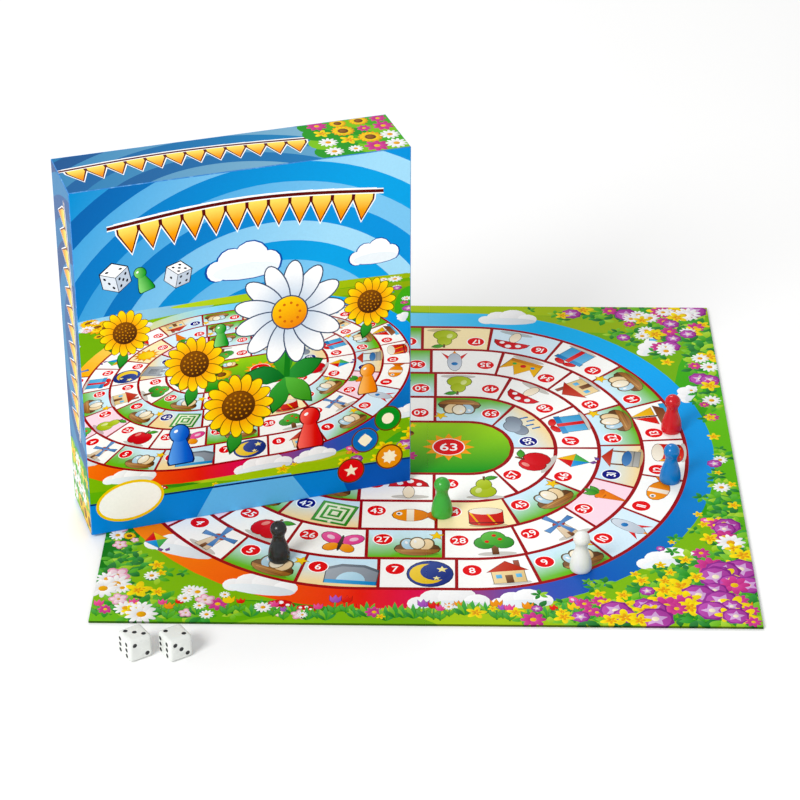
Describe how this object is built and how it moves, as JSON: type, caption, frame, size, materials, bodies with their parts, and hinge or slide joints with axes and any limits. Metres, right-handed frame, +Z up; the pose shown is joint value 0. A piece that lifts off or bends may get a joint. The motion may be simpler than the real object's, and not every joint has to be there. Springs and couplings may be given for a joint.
{
  "type": "game of the goose set",
  "caption": "Quad-fold spiral-track game board laid flat with its upright lidded box, turned pawns standing on the track and pipped dice beside it.",
  "frame": {"origin": "middle of the whole set's footprint, at the height of the table it rests on", "axes": "+Z up from the table; +X to the right and +Y to the back, along the board's edges, as seen by the player in front"},
  "size_m": [0.4464, 0.4626, 0.25],
  "materials": {
    "greyboard": "matt greyboard",
    "printed_sheet": "offset print, gloss varnish",
    "lining_paper": "uncoated",
    "linen_tape": "matt linen",
    "red_plastic": "moulded, glossy",
    "blue_plastic": "moulded, glossy",
    "green_plastic": "moulded, glossy",
    "white_plastic": "moulded, glossy",
    "black_plastic": "moulded, glossy",
    "die_plastic": "moulded, satin",
    "lid_paper": "offset print, gloss varnish",
    "tray_paper": "uncoated white",
    "leaflet_paper": "uncoated white"
  },
  "bodies": {
    "board_front_left": {"board_core_front_left": "greyboard", "board_print_front_left": "printed_sheet", "board_lining_front_left": "lining_paper", "hinge_tape_front_left": "linen_tape"},
    "board_front_right": {"board_core_front_right": "greyboard", "board_print_front_right": "printed_sheet", "board_lining_front_right": "lining_paper", "hinge_tape_front_right": "linen_tape"},
    "board_back_left": {"board_core_back_left": "greyboard", "board_print_back_left": "printed_sheet", "board_lining_back_left": "lining_paper", "hinge_tape_back_left": "linen_tape"},
    "board_back_right": {"board_core_back_right": "greyboard", "board_print_back_right": "printed_sheet", "board_lining_back_right": "lining_paper", "hinge_tape_back_right": "linen_tape"},
    "pawn_red": {"pawn_red": "red_plastic"},
    "pawn_blue": {"pawn_blue": "blue_plastic"},
    "pawn_green": {"pawn_green": "green_plastic"},
    "pawn_white": {"pawn_white": "white_plastic"},
    "pawn_black": {"pawn_black": "black_plastic"},
    "die_left": {"die_left": "die_plastic"},
    "die_right": {"die_right": "die_plastic"},
    "box_lid": {"lid_board": "greyboard", "lid_wrap": "lid_paper"},
    "box_tray": {"tray_board": "greyboard", "tray_wrap": "tray_paper"},
    "rules_leaflet": {"rules_leaflet": "leaflet_paper"}
  },
  "joints": [
    {"name": "back_left_fold", "type": "hinge", "parent": "board_front_left", "child": "board_back_left", "pos_m": [-0.09179, 0.02134, -0.00015], "axis": [-1, 0, 0], "range_deg": [0, 180]},
    {"name": "right_fold", "type": "hinge", "parent": "board_front_left", "child": "board_front_right", "pos_m": [0.01321, -0.08366, 0.00215], "axis": [0, -1, 0], "range_deg": [0, 75]},
    {"name": "back_right_fold", "type": "hinge", "parent": "board_front_right", "child": "board_back_right", "pos_m": [0.11821, 0.02134, -0.00015], "axis": [-1, 0, 0], "range_deg": [0, 180]},
    {"name": "pawn_red_lift", "type": "slide", "parent": "board_back_right", "child": "pawn_red", "axis": [0, 0, 1], "range_m": [0, 0.06]},
    {"name": "pawn_blue_lift", "type": "slide", "parent": "board_front_right", "child": "pawn_blue", "axis": [0, 0, 1], "range_m": [0, 0.06]},
    {"name": "pawn_green_lift", "type": "slide", "parent": "board_front_right", "child": "pawn_green", "axis": [0, 0, 1], "range_m": [0, 0.06]},
    {"name": "pawn_white_lift", "type": "slide", "parent": "board_front_right", "child": "pawn_white", "axis": [0, 0, 1], "range_m": [0, 0.06]},
    {"name": "pawn_black_lift", "type": "slide", "parent": "board_front_left", "child": "pawn_black", "axis": [0, 0, 1], "range_m": [0, 0.06]},
    {"name": "die_left_lift", "type": "slide", "parent": "board_front_left", "child": "die_left", "axis": [0, 0, 1], "range_m": [0, 0.06]},
    {"name": "die_right_lift", "type": "slide", "parent": "board_front_left", "child": "die_right", "axis": [0, 0, 1], "range_m": [0, 0.06]},
    {"name": "box_lift", "type": "slide", "parent": "board_front_left", "child": "box_lid", "axis": [0, 0, 1], "range_m": [0, 0.25]},
    {"name": "tray_slide", "type": "slide", "parent": "box_lid", "child": "box_tray", "axis": [-0.3256, 0.9455, 0], "range_m": [0, 0.1]},
    {"name": "leaflet_slide", "type": "slide", "parent": "box_tray", "child": "rules_leaflet", "axis": [0.3256, -0.9455, 0], "range_m": [0, 0.045]}
  ]
}
